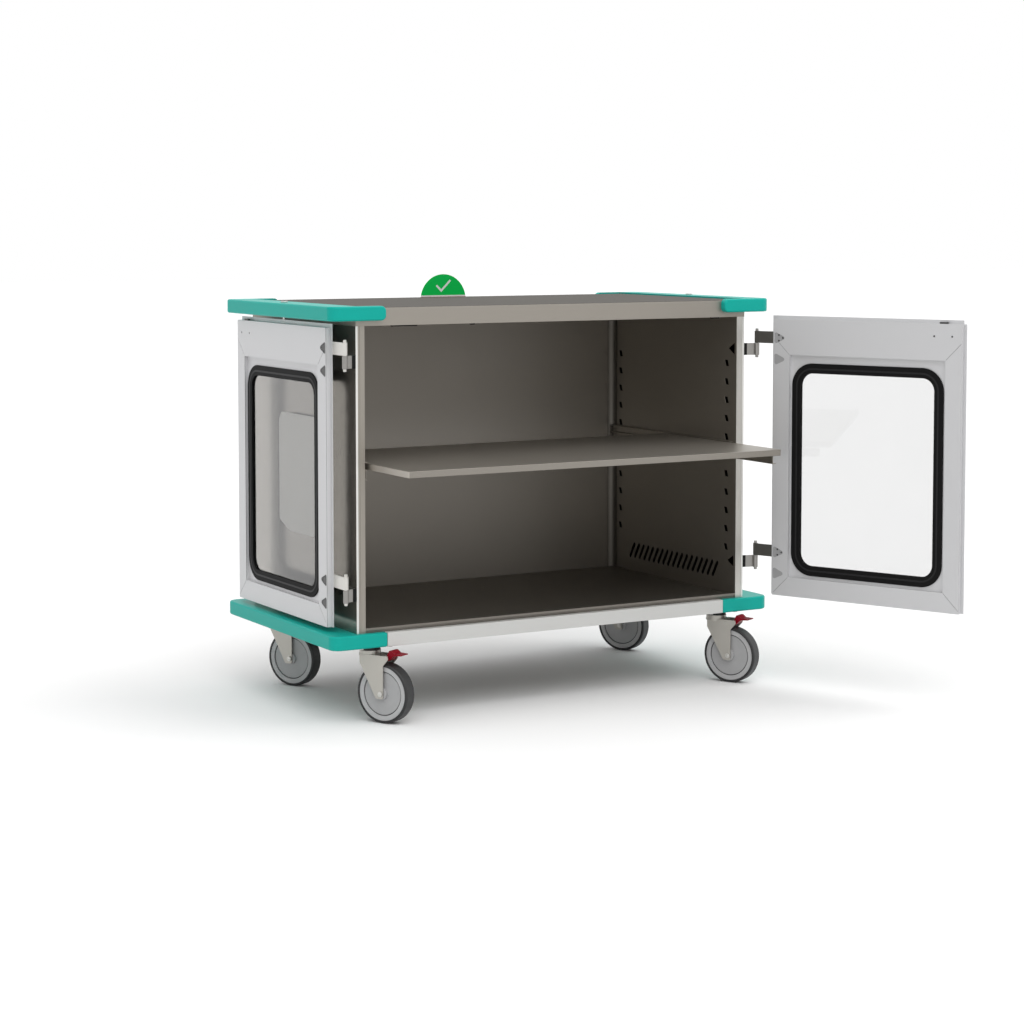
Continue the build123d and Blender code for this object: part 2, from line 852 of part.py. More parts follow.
def pocket_outline(inset, mouth):
    """The document pocket's outline on the wall, drawn in by an inset and raised at its mouth."""
    front_edge = pocket_centre - pocket_width / 2 + inset
    rear_edge = pocket_centre + pocket_width / 2 - inset
    base = base_top + pocket_rise + inset
    top = base_top + pocket_rise + pocket_height + mouth
    Polygon(
        (front_edge, base),
        (rear_edge - pocket_bottom_cut, base),
        (rear_edge, base + pocket_bottom_cut_height),
        (rear_edge, top - pocket_top_cut),
        (rear_edge - pocket_top_cut, top),
        (front_edge, top),
        align=None,
    )


# Document pocket: a tray open at the top and towards the wall that it is fixed to
with BuildPart() as document_pocket:
    wall_plane = Plane(origin=(-side, 0, 0), x_dir=(0, 1, 0), z_dir=(1, 0, 0))
    with BuildSketch(wall_plane):
        pocket_outline(0, 0)
    extrude(amount=-pocket_depth)
    with BuildSketch(wall_plane):
        pocket_outline(pocket_sheet, pocket_top_cut)
    extrude(amount=-(pocket_depth - pocket_sheet), mode=Mode.SUBTRACT)
keep(document_pocket, "document_pocket")

# Status disc: a plate behind the top panel with a pin that the disc turns on
disc_height = cabinet_top - disc_drop
disc_front = back + disc_bracket_thickness + face_gap
disc_pin_length = disc_bracket_thickness + disc_thickness + 2 * face_gap
disc_plane = Plane(origin=(0, back, disc_height), x_dir=(-1, 0, 0), z_dir=(0, 1, 0))
with BuildPart() as disc_bracket:
    box_between(
        (-disc_bracket_width / 2, back, fascia_bottom),
        (disc_bracket_width / 2, back + disc_bracket_thickness, cabinet_top - top_edge_radius),
    )
    with BuildSketch(disc_plane):
        Circle(disc_pin_radius)
    extrude(amount=disc_pin_length)
    with BuildSketch(disc_plane.offset(disc_pin_length)):
        Circle(disc_pin_head_radius)
    extrude(amount=disc_pin_head)
keep(disc_bracket, "disc_bracket")

with BuildPart() as status_disc:
    with BuildSketch(disc_plane.offset(disc_front - back)):
        Circle(disc_radius)
        Circle(disc_pin_radius + running_gap, mode=Mode.SUBTRACT)
    extrude(amount=disc_thickness)
keep(status_disc, "status_disc")

# Plungers: a pin through each top bumper that hangs down outside a folded door
with BuildPart() as right_plunger:
    with BuildSketch(Plane.XY.offset(plunger_base)):
        with Locations((plunger_x, plunger_y)):
            Circle(plunger_radius)
    extrude(amount=bumper_top + face_gap - plunger_base)
    with BuildSketch(Plane.XY.offset(bumper_top + face_gap)):
        with Locations((plunger_x, plunger_y)):
            Circle(plunger_knob_radius)
    extrude(amount=plunger_knob_height)
    fillet(right_plunger.faces().sort_by(Axis.Z)[-1].edges(), plunger_edge)
keep(right_plunger, "right_plunger")
with BuildPart() as left_plunger:
    add(right_plunger.part.mirror(Plane.YZ))
keep(left_plunger, "left_plunger")

# Caster mounting plates: each with the fixed half of the swivel race and its kingpin
plate_base = base_underside + corner_pocket_depth - mount_plate_thickness
collar_top = crown_top + collar_height
with BuildPart() as caster_plate:
    with BuildSketch(Plane.XY.offset(plate_base)):
        RectangleRounded(mount_plate_length, mount_plate_width, mount_plate_corner)
        with GridLocations(mount_bolt_pitch_x, mount_bolt_pitch_y, 2, 2):
            Circle(mount_bolt_radius + mount_hole_clearance, mode=Mode.SUBTRACT)
    extrude(amount=mount_plate_thickness)
    with BuildSketch(Plane.XY.offset(collar_top + face_gap)):
        Circle(race_radius)
    extrude(amount=plate_base - collar_top - face_gap)
    with BuildSketch(Plane.XY.offset(crown_base - face_gap)):
        Circle(kingpin_radius)
    extrude(amount=collar_top - crown_base + 2 * face_gap)
    with BuildSketch(Plane.XY.offset(crown_base - face_gap - kingpin_head)):
        Circle(kingpin_head_radius)
    extrude(amount=kingpin_head)

with BuildPart() as caster_bolt:
    with BuildSketch(Plane.XY.offset(plate_base - mount_bolt_head)):
        RegularPolygon(mount_bolt_head_flats / 2, 6, major_radius=False)
    extrude(amount=mount_bolt_head)
    with BuildSketch(Plane.XY.offset(plate_base)):
        Circle(mount_bolt_radius)
    extrude(amount=mount_plate_thickness + corner_plate_thickness)

with BuildPart() as caster_plates:
    with Locations(*corners.values()):
        add(caster_plate.part)
keep(caster_plates, "caster_plates")

with BuildPart() as caster_bolts:
    with Locations(*corners.values()):
        with GridLocations(mount_bolt_pitch_x, mount_bolt_pitch_y, 2, 2):
            add(caster_bolt.part)
keep(caster_bolts, "caster_bolts")

# One caster, drawn at the origin with its wheel trailing along +X
leg_inner = wheel_width / 2 + leg_gap
leg_outer = leg_inner + leg_sheet
leg_back = caster_trail + leg_foot_back
leg_foot_base = wheel_radius - leg_foot
pedal_pivot = caster_trail + pedal_pivot_reach
pedal_height = base_underside - pedal_pivot_drop
pedal_half = pedal_width / 2
wheel_plane = Plane(origin=(caster_trail, 0, wheel_radius), x_dir=(1, 0, 0), z_dir=(0, 0, 1))
wheel_axis = Axis((caster_trail, 0, wheel_radius), (0, 1, 0))


def side_plane(across):
    """An upright plane along the wheel, facing -Y, at a distance across."""
    return Plane.XZ.offset(-across)


# Fork: two legs, each with an ear for the pedal, a crown across them and a collar on the crown
with BuildPart() as fork:
    with BuildSketch(side_plane(leg_outer)) as leg:
        Polygon(
            (-leg_front, crown_top),
            (caster_trail + leg_ear_reach, crown_top),
            (caster_trail + leg_ear_reach, crown_top - leg_ear_drop),
            (leg_back, crown_top - leg_ear_drop - leg_ear_slope),
            (leg_back, leg_foot_base),
            (caster_trail - leg_foot_front, leg_foot_base),
            (-leg_front, crown_top - leg_shoulder_drop),
            align=None,
        )
        fillet(leg.vertices().filter_by(lambda corner: corner.Y < crown_top - leg_corner), leg_corner)
        with Locations((caster_trail, wheel_radius)):
            Circle(axle_radius, mode=Mode.SUBTRACT)
    extrude(amount=leg_sheet)
    with BuildSketch(side_plane(leg_inner + pedal_pin_depth)):
        with Locations((pedal_pivot, pedal_height)):
            Circle(pedal_pin_radius + running_gap)
    extrude(amount=pedal_pin_depth, mode=Mode.SUBTRACT)
    mirror(about=Plane.XZ)
    with BuildSketch(Plane.XY.offset(crown_base)):
        with Locations(((crown_back - leg_front) / 2, 0)):
            Rectangle(crown_back + leg_front, 2 * leg_outer)
        Circle(crown_radius)
    extrude(amount=crown_thickness)
    with BuildSketch(Plane.XY.offset(crown_top)):
        Circle(collar_radius)
    extrude(amount=collar_height)
    with BuildSketch(Plane.XY.offset(crown_base)):
        Circle(kingpin_radius + running_gap)
    extrude(amount=crown_thickness + collar_height, mode=Mode.SUBTRACT)

with BuildPart() as axle:
    with BuildSketch(side_plane(leg_outer)):
        with Locations((caster_trail, wheel_radius)):
            Circle(axle_radius)
    extrude(amount=2 * leg_outer)
    for head_side in (leg_outer + axle_head, -leg_outer):
        with BuildSketch(side_plane(head_side)):
            with Locations((caster_trail, wheel_radius)):
                Circle(axle_head_radius)
        extrude(amount=axle_head)

# Wheel core: hub, dished disc, shallow ring groove and rim, as one half section mirrored
core_radius = wheel_radius - tyre_depth
hub_half = leg_inner - pedal_side_gap
disc_half = core_width / 2 - core_disc_inset
groove_half = core_width / 2 - core_groove_depth - core_disc_inset
with BuildPart() as wheel:
    with BuildSketch(wheel_plane):
        with BuildLine():
            Polyline(
                (axle_radius + running_gap, 0),
                (axle_radius + running_gap, hub_half),
                (hub_radius, hub_half),
                (hub_radius, disc_half),
                (core_groove_radius - core_groove_width, disc_half),
                (core_groove_radius - core_groove_width, groove_half),
                (core_groove_radius, groove_half),
                (core_groove_radius, core_width / 2),
                (core_radius, core_width / 2),
                (core_radius, 0),
                close=True,
            )
        make_face()
        mirror(about=Plane.XZ)
    revolve(axis=wheel_axis)

with BuildPart() as tyre:
    with BuildSketch(wheel_plane) as tread:
        with Locations(((core_radius + wheel_radius) / 2, 0)):
            Rectangle(tyre_depth, wheel_width)
        fillet(tread.vertices().group_by(Axis.X)[-1], tyre_shoulder)
    revolve(axis=wheel_axis)

# Brake pedal: a hub and stub pins between the fork's ears, a raised toe and a thin tail
with BuildPart() as brake_pedal:
    with BuildSketch(side_plane(pedal_half)):
        with Locations((pedal_pivot, pedal_height)):
            Polygon(
                (0, -pedal_hub_radius),
                (0, pedal_hub_radius),
                (pedal_peak - pedal_hub_radius, pedal_peak_rise),
                (pedal_peak, pedal_peak_rise),
                (pedal_shoulder, pedal_shoulder_rise),
                (pedal_reach, pedal_tip_rise),
                (pedal_reach, pedal_tip_rise - pedal_tip_thickness),
                (pedal_shoulder, pedal_shoulder_rise - 2 * pedal_tip_thickness),
                align=None,
            )
    extrude(amount=pedal_width)
    with BuildSketch(side_plane(hub_half)):
        with Locations((pedal_pivot, pedal_height)):
            Circle(pedal_hub_radius)
    extrude(amount=2 * hub_half)
    with BuildSketch(side_plane(leg_inner + pedal_pin_depth)):
        with Locations((pedal_pivot, pedal_height)):
            Circle(pedal_pin_radius)
    extrude(amount=2 * (leg_inner + pedal_pin_depth))

caster_pieces = {
    "fork": fork.part,
    "axle": axle.part,
    "wheel": wheel.part,
    "tyre": tyre.part,
    "brake_pedal": brake_pedal.part,
}
for corner, (x, y) in corners.items():
    for name, piece in caster_pieces.items():
        with BuildPart() as placed:
            add(Pos(x, y, 0) * Rot(0, 0, caster_heading) * piece)
        keep(placed, f"{corner}_{name}")
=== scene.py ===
import json
import math

import bpy
from mathutils import Matrix, Vector


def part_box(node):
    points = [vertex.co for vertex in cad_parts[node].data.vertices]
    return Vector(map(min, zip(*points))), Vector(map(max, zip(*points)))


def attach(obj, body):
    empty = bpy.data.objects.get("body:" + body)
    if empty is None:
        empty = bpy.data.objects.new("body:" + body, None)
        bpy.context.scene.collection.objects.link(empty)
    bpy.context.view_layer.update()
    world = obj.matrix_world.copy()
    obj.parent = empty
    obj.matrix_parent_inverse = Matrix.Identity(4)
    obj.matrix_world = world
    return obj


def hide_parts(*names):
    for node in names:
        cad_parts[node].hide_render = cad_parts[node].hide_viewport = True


bl_info = {
    "name": "Closed case cart",
    "version": (1, 0, 0),
    "blender": (4, 5, 0),
    "location": "View3D > Sidebar > Case Cart",
    "description": "Finishes a closed case cart around its packed frame",
    "category": "Object",
}

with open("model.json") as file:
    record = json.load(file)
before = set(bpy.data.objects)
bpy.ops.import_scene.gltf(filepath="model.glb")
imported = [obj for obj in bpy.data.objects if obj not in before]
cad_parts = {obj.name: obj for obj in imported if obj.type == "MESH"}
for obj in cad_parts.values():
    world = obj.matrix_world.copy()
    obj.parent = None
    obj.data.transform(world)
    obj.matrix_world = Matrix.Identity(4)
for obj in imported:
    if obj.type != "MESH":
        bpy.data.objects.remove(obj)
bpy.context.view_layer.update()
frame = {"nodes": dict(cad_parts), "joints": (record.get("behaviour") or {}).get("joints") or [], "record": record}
HANDS = ("left", "right")
CORNERS = ("front_left", "front_right", "rear_left", "rear_right")
JOINTS = {joint["name"]: joint for joint in frame["joints"]}
SLOTS = {part["node"]: part["material_slot"] for part in frame["record"]["subparts"]}
UP = Vector((0, 0, 1))
WHITE = (1.0, 1.0, 1.0, 1.0)

# Sizes that the frame doesn't say, in metres
SMOOTH_ANGLE = math.radians(32)
CLEAR = 0.00005  # a hair's gap that keeps two faces apart
WALL_SHEET = 0.0012
CAP_SKIN = 0.0012
COVE = 0.0205
RIM_RADIUS = 0.0559
GROOVE_RADIUS = 0.0536
TREAD_RADIUS = 0.0735

# Doors: their pads, mitres, holes and windows
PAD_INSET = 0.0015
PAD_HOLES = ((0.0125, 0.0075), (0.0125, -0.0075), (0.0245, 0.0))
PAD_DEPTH = 0.0012
MITRE_DEPTH = 0.0008
HOLE_DEPTH = 0.003
HOLE_SCREW = 0.0024
HOLE_SCREW_HEIGHT = 0.0018
WINDOW_CORNER = 0.060
STRIP_INSET = 0.0125
STRIP_HEIGHT = 0.0005

# Hinges and latches: how far back from an edge their screws sit, and the black spacers
HINGE_LEAF = 0.032
HINGE_SHEET = 0.003
HINGE_SCREW_HEIGHT = 0.0014
ARM_SCREWS = (0.009, 0.030)
LEAF_SCREWS = (0.010, 0.032)
# Width of the painted shade band at the back of each hinge leaf
LEAF_SHADE_BAND = 0.012
SPACER_DEPTH = 0.004
SPACER_FALL = 0.0036
LATCH_SCREW_REACH = 0.025
FLAT_SCREW_HEIGHT = 0.0012
AXLE_CAP = 0.0042

# Door buffers: name, middle and length, with their front, back, drop and rounded lower face
BUFFERS = (
    ("left_buffer", -0.444, 0.072),
    ("middle_buffer", -0.251, 0.012),
    ("right_buffer", 0.488, 0.026),
)
BUFFER_FRONT = 0.0035
BUFFER_BACK = 0.0105
BUFFER_DROP = 0.0026
BUFFER_RIM = 0.0012
BUFFER_SWELL = 0.0006

# The tick on the status disc, from the disc's middle, and the line across it
TICK = ((-0.020, 0.038), (-0.007, 0.025), (0.020, 0.052))
TICK_HALF_WIDTH = 0.0028
DISC_SPLIT = 0.010
DISC_LINE = (0.0085, 0.0125)

# The photo's camera
CAMERA_PLACE = (-3.0878, -5.4651, 1.2462)
CAMERA_TURN = (math.radians(86), 0, math.radians(-29.781))
CAMERA_LENS = 82.32
CAMERA_SHIFT = -0.1233


# Shader maths


class Value:
    """A socket of a node tree that can be added, multiplied and compared like a number."""

    def __init__(self, tree, socket):
        self.tree = tree
        self.socket = socket

    def maths(self, operation, *terms):
        """A Math node on values and numbers."""
        return self.tree.node("ShaderNodeMath", {"operation": operation}, dict(enumerate(terms)))

    def __add__(self, other):
        return self.maths("ADD", self, other)

    def __radd__(self, other):
        return self.maths("ADD", other, self)

    def __sub__(self, other):
        return self.maths("SUBTRACT", self, other)

    def __rsub__(self, other):
        return self.maths("SUBTRACT", other, self)

    def __mul__(self, other):
        return self.maths("MULTIPLY", self, other)

    def __rmul__(self, other):
        return self.maths("MULTIPLY", other, self)

    def __gt__(self, other):
        return self.maths("GREATER_THAN", self, other)

    def __lt__(self, other):
        return self.maths("LESS_THAN", self, other)

    def __pow__(self, other):
        return self.maths("POWER", self, other)

    def clamp(self):
        """The value held between 0 and 1."""
        return self.tree.node("ShaderNodeClamp", {}, {"Value": self})


class Tree:
    """The node tree of a material or of the world, built from Python expressions."""

    def __init__(self, owner):
        owner.use_nodes = True
        self.nodes = owner.node_tree.nodes
        self.links = owner.node_tree.links

    def feed(self, socket, value):
        """Links a value to a socket, or sets the socket to a number or colour."""
        if isinstance(value, Value):
            self.links.new(value.socket, socket)
        else:
            socket.default_value = value

    def node(self, kind, settings, sockets, out=0):
        """Adds a node: its settings first, then the values of its sockets."""
        made = self.nodes.new(kind)
        for name, setting in settings.items():
            setattr(made, name, setting)
        for key, value in sockets.items():
            self.feed(made.inputs[key], value)
        return Value(self, made.outputs[out])

    def mix(self, factor, low, high):
        """A colour between two others."""
        return self.node("ShaderNodeMix", {"data_type": "RGBA"}, {0: factor, 6: low, 7: high}, 2)

    def looked_at(self):
        """1 where the camera looks, straight, in a reflection or through glass, and 0 elsewhere."""
        rays = [
            self.node("ShaderNodeLightPath", {}, {}, f"Is {kind} Ray")
            for kind in ("Camera", "Glossy", "Transmission")
        ]
        return (rays[0] + rays[1] + rays[2]).clamp()


class Paint(Tree):
    """One material on Object coordinates."""

    def __init__(self, name):
        self.material = bpy.data.materials.new(name)
        super().__init__(self.material)
        self.shader = self.nodes["Principled BSDF"]
        self.place = self.node("ShaderNodeTexCoord", {}, {}, "Object")

    def axes(self):
        """The three parts of the place on the piece."""
        return [self.node("ShaderNodeSeparateXYZ", {}, {0: self.place}, axis) for axis in range(3)]

    def noise(self, scale, detail=2.0, stretch=(1, 1, 1)):
        """A soft noise from 0 to 1, its grain stretched along an axis."""
        place = self.node("ShaderNodeMapping", {}, {"Vector": self.place, "Scale": stretch})
        sockets = {"Vector": place, "Scale": scale, "Detail": detail}
        return self.node("ShaderNodeTexNoise", {}, sockets)

    def bump(self, height, distance):
        """A bump from a height between 0 and 1, in metres."""
        return self.node("ShaderNodeBump", {}, {"Height": height, "Distance": distance})

    def dot(self, vector, direction):
        """How far a vector reaches along a direction."""
        return self.node(
            "ShaderNodeVectorMath", {"operation": "DOT_PRODUCT"}, {0: vector, 1: direction}, 1
        )

    def from_axis(self, centre, axis):
        """The distance of the place on the piece from an axis."""
        away = self.node("ShaderNodeVectorMath", {"operation": "SUBTRACT"}, {0: self.place, 1: centre})
        along = self.dot(away, axis)
        return (self.dot(away, away) - along * along) ** 0.5

    def finish(self, **sockets):
        """Sets or links the shader's own sockets and returns the material."""
        for name, value in sockets.items():
            self.feed(self.shader.inputs[name.replace("_", " ")], value)
        return self.material


def shade(colour, factor):
    """A colour made darker or lighter by a factor."""
    return (*(channel * factor for channel in colour[:3]), 1.0)


def within(low, high, skin):
    """A mask that is 1 inside a hollow panel, past its skin, and 0 on its outside."""

    def mask(paint):
        inside = 1.0
        for value, bottom, top in zip(paint.axes(), low, high):
            inside = (value > bottom + skin) * (value < top - skin) * inside
        return inside

    return mask


def beyond(axis, level, sign=1):
    """A mask that is 1 past a level along an axis, and 0 before it."""

    def mask(paint):
        value = paint.axes()[axis]
        return value > level if sign > 0 else value < level

    return mask


def between(door, depth, reach):
    """A mask that is 1 at a depth into the cabinet on a door, give or take a reach."""

    def mask(paint):
        away = paint.dot(paint.place, tuple(door.inward)) - door.pin.dot(door.inward) - depth
        return (away > -reach) * (away < reach)

    return mask


def sheet_metal(
    name, colour, metallic, roughness, grain, cloud=0.05, patches=(), glossy=None, dull=None
):
    """Satin sheet: a fine grain along one axis, with faint cloudy handling marks."""
    paint = Paint(name)
    lines = paint.noise(1.0, 3.0, grain)
    clouds = paint.noise(5.0, 3.0)
    wipes = paint.noise(17.0, 4.0)
    tone = (lines * 0.45 + clouds * 0.4 + wipes * 0.15).clamp()
    colour_over = paint.mix(tone, shade(colour, 1 - cloud), shade(colour, 1 + cloud))
    for mask, other in patches:
        colour_over = paint.mix(mask(paint), colour_over, other)
    satin = roughness - 0.07 + lines * 0.07 + clouds * 0.04 + wipes * 0.03
    if glossy:
        satin = satin * (1 - glossy(paint) * 0.55)
    if dull:
        satin = satin + dull(paint) * 0.45
        metallic = (1 - dull(paint)) * metallic
    return paint.finish(
        Base_Color=colour_over,
        Metallic=metallic,
        Roughness=satin,
        Normal=paint.bump(lines, 0.00002),
    )


def moulded(name, colour, roughness, specular=0.12):
    """Moulded plastic or rubber with a fine leathery skin."""
    paint = Paint(name)
    skin = paint.noise(900.0, 2.0)
    clouds = paint.noise(7.0, 2.0)
    return paint.finish(
        Base_Color=paint.mix(clouds, shade(colour, 0.94), shade(colour, 1.05)),
        Roughness=roughness - 0.07 + clouds * 0.08 + skin * 0.06,
        Specular_IOR_Level=specular,
        Normal=paint.bump(skin, 0.00004),
    )


def wheel_core(corner):
    """Moulded grey wheel: a lighter rim, painted shade as a dark line in its groove, and a plain disc."""
    roll = JOINTS[f"{corner}_wheel_roll"]
    paint = Paint(f"{corner}_wheel_core")
    radius = paint.from_axis(tuple(roll["pos_m"]), tuple(roll["axis"]))
    rim = radius > RIM_RADIUS
    groove = (radius > GROOVE_RADIUS) * (radius < RIM_RADIUS)
    skin = paint.noise(700.0, 2.0)
    scuffs = paint.noise(60.0, 4.0)
    grey = paint.mix(rim, (0.47, 0.47, 0.475, 1.0), (0.56, 0.56, 0.565, 1.0))
    worn = paint.mix(scuffs * 0.25, grey, (0.25, 0.25, 0.25, 1.0))
    return paint.finish(
        Base_Color=paint.mix(groove, worn, (0.06, 0.06, 0.062, 1.0)),
        Roughness=0.4 + scuffs * 0.15,
        Normal=paint.bump(skin, 0.00003),
    )


def tyre_tread(corner):
    """Dark rubber tyre with faint rolling scuffs round its tread."""
    roll = JOINTS[f"{corner}_wheel_roll"]
    paint = Paint(f"{corner}_tyre_tread")
    radius = paint.from_axis(tuple(roll["pos_m"]), tuple(roll["axis"]))
    tread = radius > TREAD_RADIUS
    skin = paint.noise(500.0, 3.0)
    scuffs = paint.noise(90.0, 4.0)
    worn = (tread * scuffs * 0.8).clamp()
    return paint.finish(
        Base_Color=paint.mix(worn, (0.018, 0.018, 0.019, 1.0), (0.05, 0.05, 0.052, 1.0)),
        Roughness=0.42 + scuffs * 0.2,
        Normal=paint.bump(skin, 0.00008),
    )


# Modelling


def only(piece):
    """Makes one object the only one selected, and active."""
    bpy.ops.object.select_all(action="DESELECT")
    piece.select_set(True)
    bpy.context.view_layer.objects.active = piece


def softened(node, name, width, segments=2, angle=32.0):
    """A copy of a CAD node with its sharp edges rounded."""
    piece = bpy.data.objects.new(name, frame["nodes"][node].data.copy())
    bpy.context.scene.collection.objects.link(piece)
    only(piece)
    bpy.ops.object.mode_set(mode="EDIT")
    bpy.ops.mesh.select_all(action="SELECT")
    bpy.ops.mesh.remove_doubles(threshold=0.000002)
    bpy.ops.mesh.dissolve_limited(angle_limit=math.radians(0.5))
    bpy.ops.object.mode_set(mode="OBJECT")
    round_edges(piece, width, segments, angle)
    return piece


def round_edges(piece, width, segments=2, angle=32.0):
    """Rounds a piece's sharp edges and shades it smooth."""
    only(piece)
    bevel = piece.modifiers.new("edges", "BEVEL")
    bevel.width = width
    bevel.segments = segments
    bevel.limit_method = "ANGLE"
    bevel.angle_limit = math.radians(angle)
    bpy.ops.object.modifier_apply(modifier=bevel.name)
    bpy.ops.object.shade_smooth_by_angle(angle=SMOOTH_ANGLE)
    weighted = piece.modifiers.new("flat_faces", "WEIGHTED_NORMAL")
    weighted.keep_sharp = True
    bpy.ops.object.modifier_apply(modifier=weighted.name)


def start(name, add, **settings):
    """Adds a primitive with nothing else selected and opens it with all of it selected."""
    bpy.ops.object.select_all(action="DESELECT")
    add(**settings)
    piece = bpy.context.active_object
    piece.name = name
    bpy.ops.object.transform_apply(location=True, rotation=True, scale=True)
    bpy.ops.object.mode_set(mode="EDIT")
    bpy.ops.mesh.select_all(action="SELECT")
    return piece


def pick_faces(piece, wanted):
    """Selects only the faces that a test accepts, in a piece open for editing."""
    bpy.ops.mesh.select_mode(type="FACE")
    bpy.ops.mesh.select_all(action="DESELECT")
    bpy.ops.object.mode_set(mode="OBJECT")
    for face in piece.data.polygons:
        face.select = wanted(face)
    bpy.ops.object.mode_set(mode="EDIT")


def box(name, low, high):
    """A box between two corners, open for editing."""
    size = [top - bottom for bottom, top in zip(low, high)]
    middle = [(top + bottom) / 2 for bottom, top in zip(low, high)]
    piece = start(name, bpy.ops.mesh.primitive_cube_add, size=1.0)
    bpy.ops.transform.resize(value=size)
    bpy.ops.transform.translate(value=middle)
    return piece


def screw_head(radius, height):
    """A low domed screw head with a socket in it, standing on the origin along +Z."""
    piece = start(
        "screw_head",
        bpy.ops.mesh.primitive_cylinder_add,
        vertices=24,
        radius=radius,
        depth=height * 0.5,
        location=(0, 0, height * 0.25),
    )
    pick_faces(piece, lambda face: face.normal.z > 0.9)
    bpy.ops.mesh.inset(thickness=radius * 0.2)
    bpy.ops.transform.translate(value=(0, 0, height * 0.35))
    bpy.ops.mesh.inset(thickness=radius * 0.3)
    bpy.ops.transform.translate(value=(0, 0, height * 0.15))
    bpy.ops.mesh.inset(thickness=radius * 0.08)
    bpy.ops.mesh.extrude_region_move(TRANSFORM_OT_translate={"value": (0, 0, -height * 0.55)})
    bpy.ops.object.mode_set(mode="OBJECT")
    bpy.ops.object.shade_smooth_by_angle(angle=SMOOTH_ANGLE)
    return piece


def facing(place, direction):
    """The place and turn of a piece that stands along +Z."""
    return Matrix.LocRotScale(place, Vector(direction).to_track_quat("Z", "Y"), None)


def copies(model, name, places):
    """Copies a model to each place as one piece, and deletes the model."""
    made = []
    for place in places:
        copy = bpy.data.objects.new(name, model.data.copy())
        copy.data.transform(place)
        bpy.context.scene.collection.objects.link(copy)
        made.append(copy)
    only(model)
    bpy.ops.object.delete()
    only(made[0])
    for copy in made[1:]:
        copy.select_set(True)
    bpy.ops.object.join()
    return made[0]


def finish_piece(piece, material, body, slot, *nodes):
    """Gives a piece its one material and its body, and hides the CAD nodes that it stands for. The slot is not
    used.
    """
    piece.data.materials.clear()
    piece.data.materials.append(material)
    for face in piece.data.polygons:
        face.material_index = 0
    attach(piece, body)
    if nodes:
        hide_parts(*nodes)


def finish_node(node, material, body, width, segments=2, angle=32.0):
    """Replaces a CAD node with the same shape, its edges rounded and its surface finished."""
    piece = softened(node, f"{node}_finished", width, segments, angle)
    finish_piece(piece, material, body, SLOTS[node], node)


def coat_node(node, material):
    """Gives a CAD node a better material on the slots it already has."""
    mesh = frame["nodes"][node].data
    for index in range(len(mesh.materials)):
        mesh.materials[index] = material


class Door:
    """Where a door hangs at rest: its pin, and the directions along it and into the cabinet."""

    def __init__(self, hand):
        joint = JOINTS[f"{hand}_door_hinge"]
        shut = joint["range_deg"][1] if hand == "left" else joint["range_deg"][0]
        opened = Matrix.Rotation(math.radians(-shut), 3, "Z")
        self.pin = Vector((*joint["pos_m"][:2], 0))
        self.along = opened @ Vector((1 if hand == "left" else -1, 0, 0))
        self.inward = opened @ Vector((0, 1, 0))

    def span(self, node):
        """The lowest and highest reach of a node along the door, into the cabinet and up."""
        away = [vertex.co - self.pin for vertex in frame["nodes"][node].data.vertices]
        reach = [(v.dot(self.along), v.dot(self.inward), v.z) for v in away]
        return [Vector(map(pick, zip(*reach))) for pick in (min, max)]

    def point(self, along, inward, up):
        """A point given along the door, into the cabinet and up."""
        return self.pin + self.along * along + self.inward * inward + UP * up

    def panel(self, along, inward, up):
        """The place and turn of a piece drawn flat, seen from inside the cabinet."""
        across = UP.cross(self.inward)
        turn = Matrix((across, UP, self.inward)).transposed().to_4x4()
        return Matrix.Translation(self.point(along, inward, up)) @ turn


def colour_property(name, description, default):
    """A colour that can be changed in the sidebar."""
    return bpy.props.FloatVectorProperty(
        name=name,
        description=description,
        subtype="COLOR",
        size=3,
        min=0.0,
        max=1.0,
        default=default,
    )


def length_property(name, description, default):
    """A length that can be changed in the sidebar."""
    return bpy.props.FloatProperty(
        name=name, description=description, unit="LENGTH", min=0.0, precision=4, default=default
    )


class CartFinish(bpy.types.PropertyGroup):
    """Colours and small sizes of the cart's finish"""

    cabinet: colour_property(
        "Cabinet steel", "Warm grey of the cabinet's satin sheet", (0.33, 0.305, 0.27)
    )
    door: colour_property("Door sheet", "Light grey of the doors", (0.66, 0.66, 0.67))
    base: colour_property("Base rail", "Near white of the rails along the base", (0.70, 0.70, 0.68))
    bumper: colour_property("Bumper", "Colour of the moulded bumpers", (0.006, 0.44, 0.37))
    pedal: colour_property("Brake pedal", "Deep red of the brake pedals", (0.26, 0.003, 0.014))
    disc: colour_property("Status disc", "Green of the status disc's upper half", (0.0, 0.54, 0.085))
    trim_width: length_property("Post trim", "Width of the bright strip on each post", 0.0055)
    spacer_width: length_property("Hinge spacer", "Width of the black block at each leaf", 0.0096)
    strip_width: length_property("Filler strip", "Width of the strip let into the window rubber", 0.0045)
    screw_radius: length_property("Screw head", "Radius of the hinge and latch screws", 0.0042)


def finish_of(name):
    """One of the colours set in the sidebar."""
    return (*getattr(bpy.context.scene.cart_finish, name), 1.0)


